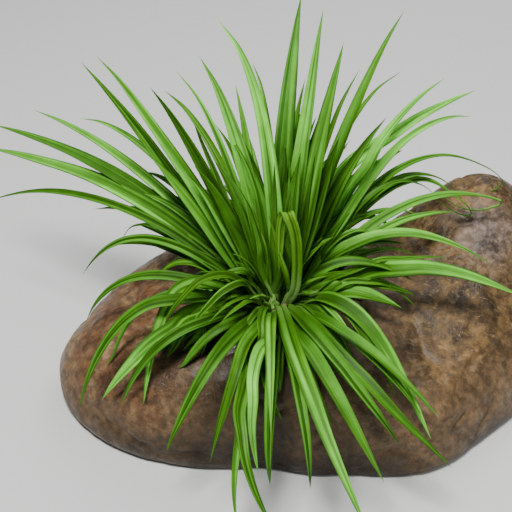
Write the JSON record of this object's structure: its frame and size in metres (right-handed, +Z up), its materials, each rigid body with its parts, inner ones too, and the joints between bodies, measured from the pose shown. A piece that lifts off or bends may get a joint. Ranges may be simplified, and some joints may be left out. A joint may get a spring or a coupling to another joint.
{
  "type": "sweet flag on stone",
  "caption": "Dense tuft of long, pointed, arching ribbon leaves growing from a short creeping rhizome on a low rounded stream stone.",
  "frame": {"origin": "middle of the stone's flat underside, on the surface that it rests on", "axes": "+Z up, +X along the stone towards its high end, -Y towards the front that the picture shows"},
  "size_m": [0.5153, 0.3699, 0.359],
  "materials": {
    "stone": "wet water-worn brown stone with pale streaks and speckles",
    "rhizome": "reddish brown ringed rhizome with thin gripping roots",
    "leaf": "bright green blade with fine lengthwise ribs and a soft gloss",
    "young_leaf": "lighter yellow green young blade with a pale sheath"
  },
  "bodies": {
    "root": {"leaf_back_01": "leaf", "leaf_back_02": "leaf", "leaf_front_01": "leaf", "leaf_front_02": "leaf", "leaf_front_03": "leaf", "leaf_front_04": "leaf", "leaf_front_05": "leaf", "leaf_front_06": "leaf", "leaf_front_07": "leaf", "leaf_front_08": "leaf", "leaf_front_09": "leaf", "leaf_front_10": "leaf", "leaf_front_11": "leaf", "leaf_front_12": "leaf", "leaf_left_01": "leaf", "leaf_left_02": "leaf", "leaf_left_03": "leaf", "leaf_left_04": "leaf", "leaf_left_05": "leaf", "leaf_left_06": "leaf", "leaf_left_07": "leaf", "leaf_left_08": "leaf", "leaf_left_09": "leaf", "leaf_left_10": "leaf", "leaf_left_11": "leaf", "leaf_left_12": "leaf", "leaf_left_13": "leaf", "leaf_left_14": "leaf", "leaf_left_15": "leaf", "leaf_right_01": "leaf", "leaf_right_02": "leaf", "leaf_right_03": "leaf", "leaf_right_04": "leaf", "leaf_right_05": "leaf", "leaf_right_06": "leaf", "leaf_right_07": "leaf", "leaf_right_08": "leaf", "leaf_right_09": "leaf", "leaf_right_10": "leaf", "leaf_right_11": "leaf", "leaf_upright_01": "leaf", "leaf_upright_02": "leaf", "leaf_upright_03": "leaf", "leaf_upright_04": "leaf", "leaf_upright_05": "leaf", "leaf_upright_06": "leaf", "leaf_upright_07": "leaf", "leaf_upright_08": "leaf", "rhizome": "rhizome", "stone": "stone", "young_shoot_1": "young_leaf", "young_shoot_10": "young_leaf", "young_shoot_2": "young_leaf", "young_shoot_3": "young_leaf", "young_shoot_4": "young_leaf", "young_shoot_5": "young_leaf", "young_shoot_6": "young_leaf", "young_shoot_7": "young_leaf", "young_shoot_8": "young_leaf", "young_shoot_9": "young_leaf"}
  },
  "joints": []
}
